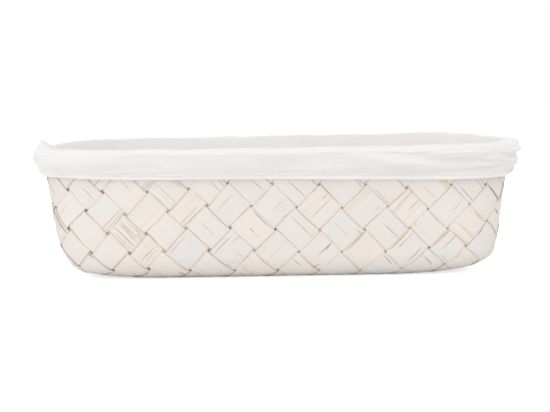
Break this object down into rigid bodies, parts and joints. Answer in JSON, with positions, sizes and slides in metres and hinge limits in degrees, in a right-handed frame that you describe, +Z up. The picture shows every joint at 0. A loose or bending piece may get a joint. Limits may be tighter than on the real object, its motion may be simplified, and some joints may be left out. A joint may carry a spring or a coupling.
{
  "type": "lined bamboo tray",
  "caption": "Low oblong tray plaited from wide bamboo splints, with a cotton liner turned out over its rim.",
  "frame": {"origin": "on the floor under the middle of the base", "axes": "+Z up, +X along the tray's length, -Y towards the front in the picture"},
  "size_m": [0.3923, 0.2594, 0.102],
  "materials": {
    "bamboo_splint": "whitewashed, matte",
    "bamboo_hoop": "plain, satin",
    "cane_tie": "plain, satin",
    "cotton": "soft woven cotton"
  },
  "bodies": {
    "root": {"splint_rising_01": "bamboo_splint", "splint_rising_02": "bamboo_splint", "splint_rising_03": "bamboo_splint", "splint_rising_04": "bamboo_splint", "splint_rising_05": "bamboo_splint", "splint_rising_06": "bamboo_splint", "splint_rising_07": "bamboo_splint", "splint_rising_08": "bamboo_splint", "splint_rising_09": "bamboo_splint", "splint_rising_10": "bamboo_splint", "splint_rising_11": "bamboo_splint", "splint_rising_12": "bamboo_splint", "splint_rising_13": "bamboo_splint", "splint_rising_14": "bamboo_splint", "splint_rising_15": "bamboo_splint", "splint_rising_16": "bamboo_splint", "splint_falling_01": "bamboo_splint", "splint_falling_02": "bamboo_splint", "splint_falling_03": "bamboo_splint", "splint_falling_04": "bamboo_splint", "splint_falling_05": "bamboo_splint", "splint_falling_06": "bamboo_splint", "splint_falling_07": "bamboo_splint", "splint_falling_08": "bamboo_splint", "splint_falling_09": "bamboo_splint", "splint_falling_10": "bamboo_splint", "splint_falling_11": "bamboo_splint", "splint_falling_12": "bamboo_splint", "splint_falling_13": "bamboo_splint", "splint_falling_14": "bamboo_splint", "splint_falling_15": "bamboo_splint", "splint_falling_16": "bamboo_splint", "rim_hoop_outer": "bamboo_hoop", "rim_hoop_inner": "bamboo_hoop", "rim_tie_01": "cane_tie", "rim_tie_02": "cane_tie", "rim_tie_03": "cane_tie", "rim_tie_04": "cane_tie", "rim_tie_05": "cane_tie", "rim_tie_06": "cane_tie", "rim_tie_07": "cane_tie", "rim_tie_08": "cane_tie", "rim_tie_09": "cane_tie", "rim_tie_10": "cane_tie", "rim_tie_11": "cane_tie", "rim_tie_12": "cane_tie", "liner_floor": "cotton", "liner_front": "cotton", "liner_right": "cotton", "liner_back": "cotton", "liner_left": "cotton"}
  },
  "joints": []
}
